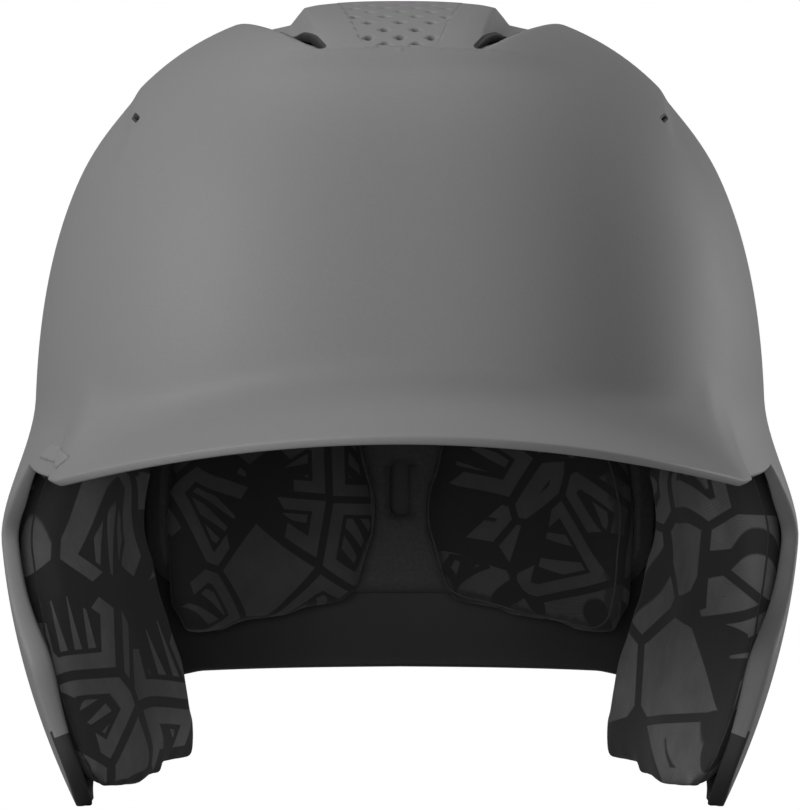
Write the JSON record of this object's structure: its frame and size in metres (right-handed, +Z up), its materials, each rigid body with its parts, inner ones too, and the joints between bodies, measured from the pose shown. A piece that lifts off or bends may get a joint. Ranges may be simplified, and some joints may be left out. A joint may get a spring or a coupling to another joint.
{
  "type": "batting helmet",
  "caption": "Two-ear batting helmet: moulded shell with a short brim, vented crest with a dimpled inlay, foam liners and fabric-wrapped ear and rear pads.",
  "frame": {"origin": "in the middle of the helmet's footprint, on its mirror plane, at the height of the ear flaps' feet", "axes": "+Z up, the brim points to -Y, +X to the wearer's left; X = 0 is the mirror plane"},
  "size_m": [0.2236, 0.298, 0.2254],
  "materials": {
    "matte_shell": "matte painted",
    "insert_plastic": "satin",
    "blank_plate": "satin",
    "liner_foam": "matte moulded foam",
    "pad_foam": "soft open foam",
    "printed_fabric": "knitted, printed with plain angular shards",
    "hook_tape": "hook and loop tape"
  },
  "bodies": {
    "root": {"outer_shell": "matte_shell", "crest_insert": "insert_plastic", "brim_patch": "blank_plate", "brow_liner": "liner_foam", "brow_pad": "pad_foam", "crown_liner_left": "liner_foam", "crown_liner_right": "liner_foam", "crown_pad": "pad_foam", "side_liner_left": "liner_foam", "side_liner_right": "liner_foam", "rear_liner": "pad_foam", "rear_pad_left": "printed_fabric", "rear_pad_right": "printed_fabric", "rear_pad_patch_left": "hook_tape", "rear_pad_patch_right": "hook_tape", "ear_pad_core_left": "pad_foam", "ear_pad_core_right": "pad_foam", "ear_pad_cover_left": "printed_fabric", "ear_pad_cover_right": "printed_fabric", "ear_pad_patch_back_left": "hook_tape", "ear_pad_patch_back_right": "hook_tape", "ear_pad_patch_low_left": "hook_tape", "ear_pad_patch_low_right": "hook_tape"}
  },
  "joints": []
}
